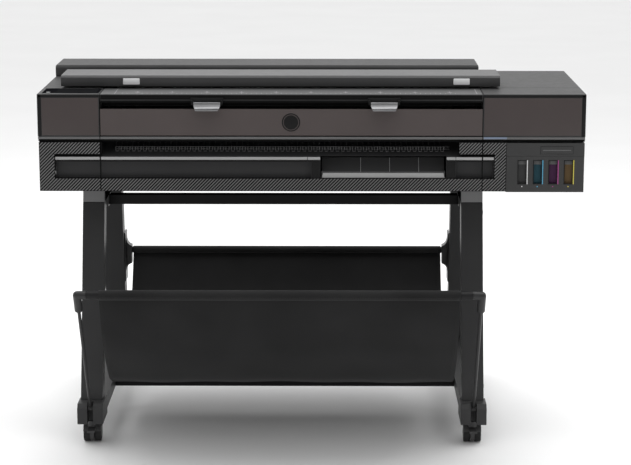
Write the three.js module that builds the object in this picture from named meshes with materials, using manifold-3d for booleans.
// Large format plotter with a sheet-fed scanner on top, on a wheeled stand with a fabric basket.
// Millimetres, Z up, X to the right seen from the front, Y away from the viewer.
import * as THREE from 'three';
import { mergeVertices } from 'three/addons/utils/BufferGeometryUtils.js';
import Module from 'manifold-3d';

const wasm = await Module();
wasm.setup();

// ---- driving dimensions -------------------------------------------------
const ROW_SHIFT_Y = -221.6;   // front plane of the body is Y 0 below, the row origin is mid depth
const GAP = 0.3;              // air between pieces that touch
const WALL = 3;               // plastic cover wall

const BODY = { half: 700, bottom: 671.3, split: 799.5, top: 922.2, rear: 531 };
const LOWER_HALF = 698;
const LEFT_SEAM = -541;
const RIGHT_SEAM = 438;
const CENTRE = { x0: -539, x1: 436.5 };
const INK_X0 = 499;

const STAND_X = -77;          // middle of the stand
const LEG_OFFSET = 500;       // leg centre from the middle of the stand
const LEG_HALF = 28.5;
const FOOT_HALF = 33.5;
const FOOT = { bottom: 61, top: 114.5, front: -47, rear: 705 };
const RAIL_Z = 616;           // underside of the leg top rail
const POST_DEPTH = 50;
const FRONT_POST = { yLow: -1.7, yHigh: 141 };
const REAR_POST = { yLow: 655, yHigh: 567 };

const CASTER = { front: -6, rear: 660, trail: 18, wheelR: 25, half: 22.5, web: 5.4 };

const BASKET = { half: 447, pivotY: -30, pivotZ: 100, barY: -252, barZ: 456, barR: 10.5,
  sleeveR: 12.8, rearY: 645, rearZ: 381, rearR: 9.2, cloth: 2.4 };
const SLING_FRONT = [[-252, 445.5], [-212, 366], [-157, 284], [-62, 198]];
const SLING_REAR = [[-62, 198], [-8, 171], [48, 152], [115, 137], [200, 130], [300, 138],
  [400, 166], [500, 216], [580, 276], [645, 371.5]];

const LID = { x0: -652, x1: 489, y0: 110, y1: 252, z0: 928, z1: 956 };
const ROLL_COVER = { x0: -700, x1: 452, y0: 366, y1: 531, z0: 922.6, z1: 953 };
const LATCHES = [['left_latch', -490, -447], ['right_latch', 368, 410]];
const LATCH_Z = [933, 949];
const GUIDES = [['left_document_guide', -266], ['right_document_guide', 185.5]];
const GUIDE = { half: 34, bracketHalf: 41, axisY: -7, axisZ: 900 };

const RECESS = { x0: -658, x1: 468.5, z0: 705, z1: 767 };
const OUTPUT = { x0: -536, x1: 377.6 };
const TRAY = { x0: 23, x1: 346, rear: 138 };
const INK_DOOR_TOP = 762.7;
const TANKS = [['ink_tank_1', 540], ['ink_tank_2', 579.5], ['ink_tank_3', 619], ['ink_tank_4', 658.5]];
const WINDOW = { half: 10.4, z0: 692, z1: 751.5 };

const TOUCH = { x0: -690, x1: -545, y0: 20, y1: 110 };
const BUTTON = { x: -674.5, y: 33, r: 6 };
const FEED = { y: 213, z: 784, r: 12, shaftR: 5 };
const SPINDLE = { y: 448, z: 845, r: 8 };
const RAIL = { y0: 176, y1: 195.6, z0: 830, z1: 850 };

// ---- finishes -------------------------------------------------------------
const finish = (color, roughness, metalness) =>
  new THREE.MeshStandardMaterial({ color, roughness, metalness });
const CHARCOAL = finish(0x4a4a4c, 0.6, 0);
const DARK = finish(0x2e2e30, 0.6, 0);
const WARM = finish(0x4a4340, 0.5, 0);
const POST_PAINT = finish(0x333335, 0.5, 0.3);
const STEEL = finish(0x9a9c9f, 0.35, 0.9);
const SILVER = finish(0xc4c6c8, 0.35, 0.7);
const CLOTH = finish(0x1c1c1d, 0.95, 0);
const RUBBER = finish(0x1a1a1a, 0.85, 0);
const GLASS = finish(0x101214, 0.1, 0);
const INKS = [0x303032, 0x1b6f86, 0x6d2350, 0x8a6a1c].map((c) => finish(c, 0.4, 0));

// ---- solid helpers ----------------------------------------------------------
function toSolid(geometry) {
  const bare = geometry.index ? geometry.clone() : geometry;
  bare.deleteAttribute('normal');
  bare.deleteAttribute('uv');
  const merged = mergeVertices(bare, 1e-4);
  return new wasm.Manifold(new wasm.Mesh({
    numProp: 3,
    vertProperties: new Float32Array(merged.attributes.position.array),
    triVerts: new Uint32Array(merged.index.array),
  }));
}

function box(x0, x1, y0, y1, z0, z1) {
  const geometry = new THREE.BoxGeometry(x1 - x0, y1 - y0, z1 - z0);
  geometry.translate((x0 + x1) / 2, (y0 + y1) / 2, (z0 + z1) / 2);
  return toSolid(geometry);
}

function extrude(points, depth) {
  const shape = new THREE.Shape(points.map(([u, v]) => new THREE.Vector2(u, v)));
  return new THREE.ExtrudeGeometry(shape, { depth, bevelEnabled: false, steps: 1 });
}

// Outline of (y, z) points swept from x0 to x1.
function alongX(points, x0, x1) {
  const geometry = extrude(points, x1 - x0);
  geometry.applyMatrix4(new THREE.Matrix4().set(0, 0, 1, x0, 1, 0, 0, 0, 0, 1, 0, 0, 0, 0, 0, 1));
  return toSolid(geometry);
}

// Outline of (x, z) points swept from y0 to y1.
function alongY(points, y0, y1) {
  const geometry = extrude(points, y1 - y0);
  geometry.applyMatrix4(new THREE.Matrix4().set(1, 0, 0, 0, 0, 0, -1, y1, 0, 1, 0, 0, 0, 0, 0, 1));
  return toSolid(geometry);
}

// Cylinder between two points.
function rod(from, to, radius, segments = 20) {
  const a = new THREE.Vector3(...from);
  const axis = new THREE.Vector3(...to).sub(a);
  const geometry = new THREE.CylinderGeometry(radius, radius, axis.length(), segments);
  geometry.translate(0, axis.length() / 2, 0);
  const turn = new THREE.Quaternion().setFromUnitVectors(
    new THREE.Vector3(0, 1, 0), axis.clone().normalize());
  geometry.applyQuaternion(turn);
  geometry.translate(a.x, a.y, a.z);
  return toSolid(geometry);
}

const rodX = (x0, x1, y, z, radius, segments) => rod([x0, y, z], [x1, y, z], radius, segments);
const rodZ = (x, y, z0, z1, radius, segments) => rod([x, y, z0], [x, y, z1], radius, segments);

function ball(x, y, z, radius) {
  const geometry = new THREE.SphereGeometry(radius, 16, 10);
  geometry.translate(x, y, z);
  return toSolid(geometry);
}

const join = (first, ...more) => more.reduce((solid, piece) => solid.add(piece), first);
const cut = (first, ...tools) => tools.reduce((solid, tool) => solid.subtract(tool), first);

const group = new THREE.Group();
group.position.y = ROW_SHIFT_Y;

function piece(name, solid, material) {
  const { vertProperties, triVerts } = solid.getMesh();
  const geometry = new THREE.BufferGeometry();
  geometry.setAttribute('position', new THREE.BufferAttribute(new Float32Array(vertProperties), 3));
  geometry.setIndex(new THREE.BufferAttribute(new Uint32Array(triVerts), 1));
  geometry.computeVertexNormals();
  const mesh = new THREE.Mesh(geometry, material);
  mesh.name = name;
  group.add(mesh);
}

// ---- stand ------------------------------------------------------------------
// A post leans in the YZ plane: bottom and top front edges are given, depth is constant.
function post(legX, lean) {
  const low = FOOT.top + GAP;
  const high = RAIL_Z - GAP;
  const outline = [[lean.yLow, low], [lean.yLow + POST_DEPTH, low],
    [lean.yHigh + POST_DEPTH, high], [lean.yHigh, high]];
  return alongX(outline, legX - LEG_HALF, legX + LEG_HALF);
}

// Top rail under the body, with a lug that takes the upper crossbar.
function topRail(legX) {
  const top = BODY.bottom - GAP;
  const outline = [[142, RAIL_Z], [235, RAIL_Z], [235, 586], [295, 586], [295, RAIL_Z],
    [616, RAIL_Z], [608, top], [157, top]];
  return alongX(outline, legX - LEG_HALF, legX + LEG_HALF);
}

function foot(legX) {
  const nose = alongX([[FOOT.front, FOOT.bottom], [60, FOOT.bottom], [60, FOOT.top - 12],
    [20, FOOT.top], [-36, FOOT.top], [FOOT.front, 103]], legX - FOOT_HALF, legX + FOOT_HALF);
  const beam = alongX([[40, FOOT.bottom], [FOOT.rear, FOOT.bottom], [FOOT.rear, FOOT.top],
    [640, FOOT.top], [600, 98], [90, 98], [51, FOOT.top], [40, FOOT.top]],
    legX - LEG_HALF, legX + LEG_HALF);
  const armSlot = box(legX - 7.5, legX + 7.5, FOOT.front - 1, -14, FOOT.bottom - 1, 120);
  const pinHole = rodX(legX - 15, legX + 15, BASKET.pivotY, BASKET.pivotZ, 3.4, 16);
  const sockets = [CASTER.front, CASTER.rear].map((y) => rodZ(legX, y, 60, 80, 5.5, 20));
  return cut(join(nose, beam), armSlot, pinHole, ...sockets);
}

function caster(tag, x, y) {
  const axleY = y + CASTER.trail;
  const axleZ = CASTER.wheelR;
  const outer = rodX(x - CASTER.half, x + CASTER.half, axleY, axleZ, 30, 32);
  const clear = [-1, 1].map((side) => rodX(x + side * (CASTER.web + 0.1), x + side * 24,
    axleY, axleZ, 26.5, 32));
  const below = [-1, 1].map((side) => box(Math.min(x + side * 5.4, x + side * 24),
    Math.max(x + side * 5.4, x + side * 24), axleY - 31, axleY + 31, -6, 33));
  const shell = cut(outer, ...clear, ...below, box(x - 24, x + 24, axleY - 31, axleY + 31, -6, 9));
  const boss = rodZ(x, y, 46, FOOT.bottom - GAP, 12, 24);
  const stem = rodZ(x, y, 55, 78, 5, 20);
  const housing = cut(join(shell, boss, stem), rodX(x - 6, x + 6, axleY, axleZ, 4.4, 20), ...clear);
  piece(`${tag}_caster_housing`, housing, DARK);
  const wheels = [-1, 1].map((side) => rodX(x + side * 6, x + side * CASTER.half,
    axleY, axleZ, CASTER.wheelR, 32));
  piece(`${tag}_caster_wheels`, join(rodX(x - 7, x + 7, axleY, axleZ, 4, 16), ...wheels), RUBBER);
}

function brakeLever(tag, x, y) {
  const outline = [[y - 36, 36], [y - 32, 36], [y - 10.5, 38.5], [y - 10.5, 44], [y - 34, 41]];
  piece(`${tag}_brake_lever`, alongX(outline, x - 10, x + 10), DARK);
}

function stand() {
  for (const [side, sign] of [['left', -1], ['right', 1]]) {
    const legX = STAND_X + sign * LEG_OFFSET;
    piece(`${side}_top_rail`, topRail(legX), POST_PAINT);
    piece(`${side}_front_post`, post(legX, FRONT_POST), POST_PAINT);
    piece(`${side}_rear_post`, post(legX, REAR_POST), POST_PAINT);
    piece(`${side}_foot`, foot(legX), POST_PAINT);
    caster(`front_${side}`, legX, CASTER.front);
    caster(`rear_${side}`, legX, CASTER.rear);
    brakeLever(`front_${side}`, legX, CASTER.front);
  }
  const half = LEG_OFFSET - LEG_HALF - GAP;
  piece('upper_crossbar', box(STAND_X - half, STAND_X + half, 250, 280, 590, 615.5), POST_PAINT);
  const gussets = [-1, 1].map((side) => {
    const end = STAND_X + side * half;
    return alongY([[end, 62], [end, 97], [end - side * 14, 88], [end - side * 26, 80], [end - side * 26, 62]],
      318, 342);
  });
  const beam = box(STAND_X - half, STAND_X + half, 318, 342, 62, 82);
  piece('lower_crossbar', join(beam, ...gussets), POST_PAINT);
}

// ---- basket -----------------------------------------------------------------
// Closed band of constant thickness along an open (y, z) line.
function band(line, thickness, samples) {
  const curve = new THREE.SplineCurve(line.map(([y, z]) => new THREE.Vector2(y, z)));
  const above = [];
  const below = [];
  for (let i = 0; i <= samples; i += 1) {
    const at = curve.getPoint(i / samples);
    const tangent = curve.getTangent(i / samples);
    const offset = new THREE.Vector2(-tangent.y, tangent.x).multiplyScalar(thickness / 2);
    above.push([at.x + offset.x, at.y + offset.y]);
    below.unshift([at.x - offset.x, at.y - offset.y]);
  }
  return [...above, ...below];
}

function basketFabric() {
  const x0 = STAND_X - BASKET.half;
  const x1 = STAND_X + BASKET.half;
  const front = join(alongX(band(SLING_FRONT, BASKET.cloth, 14), x0, x1),
    rodX(x0, x1, BASKET.barY, BASKET.barZ, BASKET.sleeveR, 28));
  piece('basket_fabric_front',
    cut(front, rodX(x0 - 1, x1 + 1, BASKET.barY, BASKET.barZ, BASKET.barR + GAP, 28),
      box(x0 - 1, x1 + 1, -63, 0, 150, 260)), CLOTH);
  const rear = join(alongX(band(SLING_REAR, BASKET.cloth, 40), x0, x1),
    rodX(x0, x1, BASKET.rearY, BASKET.rearZ, BASKET.rearR + 2, 24));
  piece('basket_fabric_rear',
    cut(rear, rodX(x0 - 1, x1 + 1, BASKET.rearY, BASKET.rearZ, BASKET.rearR + GAP, 24),
      box(x0 - 1, x1 + 1, -100, -62.6, 150, 260)), CLOTH);
}

function basketArm(side, legX, inward) {
  const bar = [legX, BASKET.barY, BASKET.barZ];
  const down = new THREE.Vector2(BASKET.pivotY - BASKET.barY, BASKET.pivotZ - BASKET.barZ).normalize();
  const sleeveEnd = [legX, BASKET.barY + down.x * 52, BASKET.barZ + down.y * 52];
  const pivot = [legX, BASKET.pivotY, BASKET.pivotZ];
  const arm = join(ball(...bar, BASKET.barR), rod(bar, sleeveEnd, BASKET.barR),
    rod(bar, [legX + inward * 22, BASKET.barY, BASKET.barZ], BASKET.barR),
    rod(bar, pivot, 4.4, 16), rodX(legX - 5.8, legX + 5.8, pivot[1], pivot[2], 7.5, 20),
    rodX(legX - 14, legX + 14, pivot[1], pivot[2], 3, 16));
  piece(`${side}_basket_arm`, arm, DARK);
}

// Bracket on the inner face of a rear post: a flange that flares out to hold the rear bar.
function rearBracket(side, legX, inward) {
  const faceX = legX + inward * (LEG_HALF + GAP);
  const flange = [[0, 291], [4, 293], [4, 434], [0, 437]];
  const flare = [[1, 318], [4.4, 322], [6.5, 332], [11, 339], [20.6, 344], [20.6, 395],
    [14, 398], [8.5, 404], [5.5, 413], [4.4, 426], [1, 430]];
  const place = (outline) => outline.map(([dx, z]) => [faceX + inward * dx, z]);
  piece(`${side}_rear_bracket`,
    join(alongY(place(flange), 618, 672), alongY(place(flare), 630, 660)), DARK);
}

function basket() {
  basketFabric();
  const barHalf = LEG_OFFSET - 22 - GAP;
  piece('basket_front_bar', rodX(STAND_X - barHalf, STAND_X + barHalf, BASKET.barY, BASKET.barZ,
    BASKET.barR, 28), DARK);
  const rearHalf = LEG_OFFSET - LEG_HALF - 21.2;
  piece('basket_rear_bar', rodX(STAND_X - rearHalf, STAND_X + rearHalf, BASKET.rearY, BASKET.rearZ,
    BASKET.rearR, 24), STEEL);
  for (const [side, sign] of [['left', -1], ['right', 1]]) {
    basketArm(side, STAND_X + sign * LEG_OFFSET, -sign);
    rearBracket(side, STAND_X + sign * LEG_OFFSET, -sign);
  }
}

// ---- chassis and mechanism --------------------------------------------------
// Side plate with the feed roller bearing and an open notch for the roll spindle.
function sidePlate(x0, x1) {
  const plate = alongX([[196, 672], [530, 672], [530, 845], [362.6, 845], [362.6, 911.6],
    [196, 911.6]], x0, x1);
  return cut(plate, rodX(x0 - 1, x1 + 1, FEED.y, FEED.z, FEED.shaftR + 0.4, 20),
    rodX(x0 - 1, x1 + 1, SPINDLE.y, SPINDLE.z, SPINDLE.r + 0.4, 24));
}

function chassis() {
  const floor = box(-690, 498.6, 14, BODY.rear, BODY.bottom, 675);
  const rearWall = box(CENTRE.x0, CENTRE.x1, BODY.rear - 4, BODY.rear, BODY.bottom, 917);
  const plates = [sidePlate(CENTRE.x0, CENTRE.x0 + 3), sidePlate(CENTRE.x1 - 3, CENTRE.x1)];
  const inletHole = box(-470.4, -439.6, BODY.rear - 6, BODY.rear + 1, 699.6, 724.4);
  piece('chassis', cut(join(floor, rearWall, ...plates), inletHole), POST_PAINT);
  const inlet = cut(box(-470, -440, BODY.rear - 22, BODY.rear + 1, 700, 724),
    box(-467, -443, BODY.rear - 18, BODY.rear + 2, 703, 721));
  const pins = [[-461, 709], [-449, 709], [-455, 716]].map(([x, z]) =>
    box(x - 1, x + 1, BODY.rear - 19, BODY.rear - 4, z - 2, z + 2));
  piece('power_inlet', join(inlet, ...pins), DARK);
}

function mechanism() {
  piece('platen', alongX([[118, 780], [146, 780], [146, 675.3], [150, 675.3], [150, 780], [190, 780],
    [190, 796], [118, 796]], CENTRE.x0 + 6, CENTRE.x1 - 6), DARK);
  const roller = join(rodX(CENTRE.x0 + 4, CENTRE.x1 - 4, FEED.y, FEED.z, FEED.r, 28),
    rodX(CENTRE.x0 - 8, CENTRE.x1 + 1, FEED.y, FEED.z, FEED.shaftR, 20),
    box(CENTRE.x0 - 8, CENTRE.x0 - 3, FEED.y - 8, FEED.y + 8, FEED.z - 8, FEED.z + 8));
  piece('feed_roller', roller, RUBBER);
  piece('carriage_rail', box(-694, 694, RAIL.y0, RAIL.y1, RAIL.z0, RAIL.z1), STEEL);
  const carriage = join(alongX([[100, 803], [RAIL.y0 - 0.4, 803], [RAIL.y0 - 0.4, 852], [150, 872],
    [112, 872], [100, 860]], 455, 535), box(455, 535, 160, RAIL.y1 - 0.2, RAIL.z1 + 0.4, 858));
  piece('print_carriage', carriage, DARK);
  const hub = [-1, 1].map((side) => {
    const x = (CENTRE.x0 + CENTRE.x1) / 2 + side * 468;
    return join(rodX(x - 4, x + 4, SPINDLE.y, SPINDLE.z, 40, 32),
      rodX(Math.min(x, x - side * 30), Math.max(x, x - side * 30), SPINDLE.y, SPINDLE.z, 25, 28));
  });
  const shaft = rodX(CENTRE.x0 - 0.5, CENTRE.x1 + 0.5, SPINDLE.y, SPINDLE.z, SPINDLE.r, 24);
  piece('roll_spindle', join(shaft, ...hub), CHARCOAL);
}

// ---- lower block ------------------------------------------------------------
// Shallow vertical grooves that carry the two seams of the body down its front.
function seamGrooves(y, depth) {
  return [LEFT_SEAM, RIGHT_SEAM].map((x) => box(x - 1, x + 1, y - 1, y + depth, 660, 820));
}

function lowerFrontPanel() {
  const plate = box(-LOWER_HALF, INK_X0 - GAP, 0, 12, BODY.bottom, BODY.split - 0.7);
  piece('lower_front_panel', cut(plate,
    box(RECESS.x0, RECESS.x1, -1, 13, RECESS.z0, RECESS.z1),
    box(OUTPUT.x0, OUTPUT.x1, -1, 13, RECESS.z1 - 1, BODY.split + 1), ...seamGrooves(0, 2)), CHARCOAL);
}

function outputShelf() {
  const outline = [[2, 752.2], [2, 760], [112, 789], [112, 785.5], [24, 758], [24, 702],
    [12.4, 702], [12.4, 704.8], [20.5, 704.8], [20.5, 752.2]];
  const shelf = alongX(outline, RECESS.x0 + GAP, RECESS.x1 - GAP);
  const mouth = box(TRAY.x0, TRAY.x1, 0, 26, 704.9, 762);
  const cheeks = [box(TRAY.x0 - 23, TRAY.x0 - 0.1, 3, 21, 705.2, 753),
    box(TRAY.x1 + 0.1, TRAY.x1 + 24, 3, 21, 705.2, 753),
    box(RECESS.x0 + GAP, RECESS.x0 + 3, 12.4, 21, 705.2, 753),
    box(RECESS.x1 - 3, RECESS.x1 - GAP, 12.4, 21, 705.2, 753)];
  const grooves = [...seamGrooves(2, 1.5), ...seamGrooves(20.5, 1.5)];
  piece('output_shelf', cut(join(cut(shelf, mouth), ...cheeks), ...grooves), CHARCOAL);
}

function sheetTray() {
  const x0 = TRAY.x0 + 3;
  const x1 = TRAY.x1 - 3;
  const floor = box(x0, x1, 8, TRAY.rear, 705.1, 708);
  const front = alongX([[8, 705.1], [14, 705.1], [14, 718], [8, 722]], x0, x1);
  const sides = [box(x0, x0 + 3, 8, TRAY.rear, 705.1, 722), box(x1 - 3, x1, 8, TRAY.rear, 705.1, 722)];
  const ramp = alongX([[34, 706], [38, 706], [66, 750], [62, 750]], x0, x1);
  piece('sheet_tray', join(floor, front, ...sides, ramp), DARK);
}

function leftLowerCover() {
  const outer = box(-LOWER_HALF, LEFT_SEAM - 0.2, 12.4, BODY.rear, 675.3, BODY.split - 0.7);
  const inside = box(-LOWER_HALF + WALL, LEFT_SEAM + 1, 10, BODY.rear - WALL,
    674, BODY.split - 0.7 - WALL);
  piece('left_lower_cover', cut(outer, inside), CHARCOAL);
}

function inkModule() {
  const right = LOWER_HALF + 0.7;
  const outer = join(box(INK_X0, right, 3.5, BODY.rear, 669.3, 797),
    box(INK_X0, right, 0, 4, INK_DOOR_TOP + 0.5, 797));
  const inside = box(INK_X0 + WALL, right - WALL, 8, BODY.rear - WALL, 672.3, 794);
  const mouth = box(INK_X0 + 4, right - 4, -1, 9, 675, 760);
  piece('ink_module_housing', cut(outer, inside, mouth), CHARCOAL);
  for (const [index, [name, x]] of TANKS.entries()) {
    const body = box(x - 18, x + 18, 9, 150, 672.6, 754);
    const neck = rodZ(x, 40, 753, 766, 8, 20);
    const cap = rodZ(x, 40, 762, 774, 12, 24);
    piece(name, join(body, neck, cap), INKS[index]);
  }
  const half = 1.6;
  const panel = join(box(INK_X0 + 0.5, right - 0.3, 0, 2 * half, 669.6 + half, INK_DOOR_TOP),
    rodX(INK_X0 + 0.5, right - 0.3, half, 669.6 + half, half, 16));
  const windows = TANKS.map(([, x]) => box(x - WINDOW.half, x + WINDOW.half, -1, 4, WINDOW.z0, WINDOW.z1));
  piece('ink_door', cut(panel, ...windows), CHARCOAL);
}

// ---- upper block ------------------------------------------------------------
function upperCoverShell(x0, x1, openX0, openX1) {
  const outline = [[0, 813], [0, BODY.top], [498, BODY.top], [BODY.rear, 905],
    [BODY.rear, BODY.split], [8, BODY.split], [8, 813]];
  const inner = [[WALL, 798], [WALL, BODY.top - 4], [497, BODY.top - 4], [BODY.rear - WALL, 902],
    [BODY.rear - WALL, 798]];
  return cut(alongX(outline, x0, x1), alongX(inner, openX0, openX1));
}

function upperCovers() {
  const left = upperCoverShell(-BODY.half, LEFT_SEAM - 0.2, -BODY.half + WALL, LEFT_SEAM + 1);
  const touchPocket = box(TOUCH.x0, TOUCH.x1, TOUCH.y0, TOUCH.y1, BODY.top - 2, BODY.top + 1);
  const buttonHole = rodZ(BUTTON.x, BUTTON.y, 910, 930, BUTTON.r + 0.6, 24);
  piece('left_upper_cover', cut(left, touchPocket, buttonHole), CHARCOAL);
  const right = upperCoverShell(RIGHT_SEAM + 0.4, BODY.half, RIGHT_SEAM - 1, BODY.half - WALL);
  const groove = box(RIGHT_SEAM, BODY.half + 1, 132.4, 133.6, BODY.top - 1.2, BODY.top + 1);
  piece('right_upper_cover', cut(right, groove), CHARCOAL);
  const glass = box(TOUCH.x0 + GAP, TOUCH.x1 - GAP, TOUCH.y0 + GAP, TOUCH.y1 - GAP,
    BODY.top - 2 + GAP, BODY.top + 0.6);
  piece('touch_panel', cut(glass, buttonHole), GLASS);
  piece('power_button', join(rodZ(BUTTON.x, BUTTON.y, 914, BODY.top + 0.4, BUTTON.r, 24),
    rodZ(BUTTON.x, BUTTON.y, 912, 917.6, BUTTON.r + 2, 24)), CHARCOAL);
  const strip = box(-BODY.half + 0.5, BODY.half - 0.5, 0.6, 6, 806, 812.6);
  piece('trim_strip', cut(strip, ...seamGrooves(0.6, 1.5)), SILVER);
}

function frontDoor() {
  const plate = box(CENTRE.x0, CENTRE.x1, 0, 6, 818, 884);
  piece('front_door', join(plate, rodX(CENTRE.x0, CENTRE.x1, 3, 818, 3, 20)), WARM);
}

function scanTable() {
  const outline = [[0, 909], [0, BODY.top], [122, BODY.top], [122, 917], [33, 917], [33, 888],
    [30, 888], [30, 900.5], [6, 900.5]];
  const table = alongX(outline, CENTRE.x0, CENTRE.x1);
  const brackets = GUIDES.map(([, x]) => box(x - GUIDE.bracketHalf, x + GUIDE.bracketHalf, -5, 1, 904, 913));
  piece('scan_table', join(table, ...brackets), CHARCOAL);
}

function topDeck() {
  const outline = [[122.4, 912], [363, 912], [363, 846], [366, 846], [366, 921], [122.4, 921]];
  const deck = cut(alongX(outline, CENTRE.x0, CENTRE.x1),
    box(-520, 420, 140, 230, 916, 922), box(-512, 412, 148, 222, 910, 922));
  piece('top_deck', deck, CHARCOAL);
  piece('scanner_glass', box(-519.7, 419.7, 140.3, 229.7, 916.3, 920.7), GLASS);
}

function scannerLid() {
  const outline = [[LID.y0 + 3, LID.z0], [LID.y0, 938], [LID.y0, 951], [LID.y0 + 5, LID.z1],
    [LID.y1 - 5, LID.z1], [LID.y1, 951], [LID.y1, LID.z0]];
  const inside = box(LID.x0 + WALL, LID.x1 - WALL, 118, LID.y1 - WALL, LID.z0 - 1, LID.z1 - WALL);
  const pockets = LATCHES.map(([, x0, x1]) => box(x0 - 0.4, x1 + 0.4, LID.y0 - 1, 115,
    LATCH_Z[0] - 0.4, LATCH_Z[1] + 0.4));
  const ribs = [-460, -266, -80, 110, 300].map((x) => box(x, x + 2, 117, LID.y1 - 2, LID.z0 + 2, LID.z1 - 2));
  const shell = cut(alongX(outline, LID.x0, LID.x1), inside);
  piece('scanner_lid', cut(join(shell, ...ribs), ...pockets), CHARCOAL);
  for (const [name, x0, x1] of LATCHES) {
    piece(name, box(x0, x1, 107, 112, ...LATCH_Z), SILVER);
  }
}

function documentGuides() {
  const line = [[GUIDE.axisY, GUIDE.axisZ - 1.5], [-10, 892], [-17, 886], [-28, 883.5]];
  for (const [name, x] of GUIDES) {
    const plate = alongX(band(line, 1.6, 8), x - GUIDE.half, x + GUIDE.half);
    const barrel = rodX(x - GUIDE.half, x + GUIDE.half, GUIDE.axisY, GUIDE.axisZ, 2.6, 16);
    const corners = [-1, 1].map((side) => {
      const edge = x + side * (GUIDE.half + 1);
      return alongY([[edge, 880], [edge - side * 8, 880], [edge - side * 4, 887], [edge, 896]], -32, -6);
    });
    piece(name, cut(join(plate, barrel), ...corners), SILVER);
  }
}

function rollCover() {
  const c = ROLL_COVER;
  const outline = [[c.y0, c.z0], [c.y0, c.z1 - 6], [c.y0 + 6, c.z1], [c.y1 - 9, c.z1],
    [c.y1, c.z1 - 10], [c.y1, c.z0]];
  const inner = [[c.y0 + WALL, c.z0 - 1], [c.y0 + WALL, c.z1 - 8], [c.y0 + 8, c.z1 - WALL],
    [c.y1 - 10, c.z1 - WALL], [c.y1 - WALL, c.z1 - 11], [c.y1 - WALL, c.z0 - 1]];
  piece('roll_cover', cut(alongX(outline, c.x0, c.x1),
    alongX(inner, c.x0 + WALL, c.x1 - WALL)), CHARCOAL);
}

stand();
basket();
chassis();
mechanism();
lowerFrontPanel();
outputShelf();
sheetTray();
leftLowerCover();
inkModule();
upperCovers();
frontDoor();
scanTable();
topDeck();
scannerLid();
documentGuides();
rollCover();

export default group;
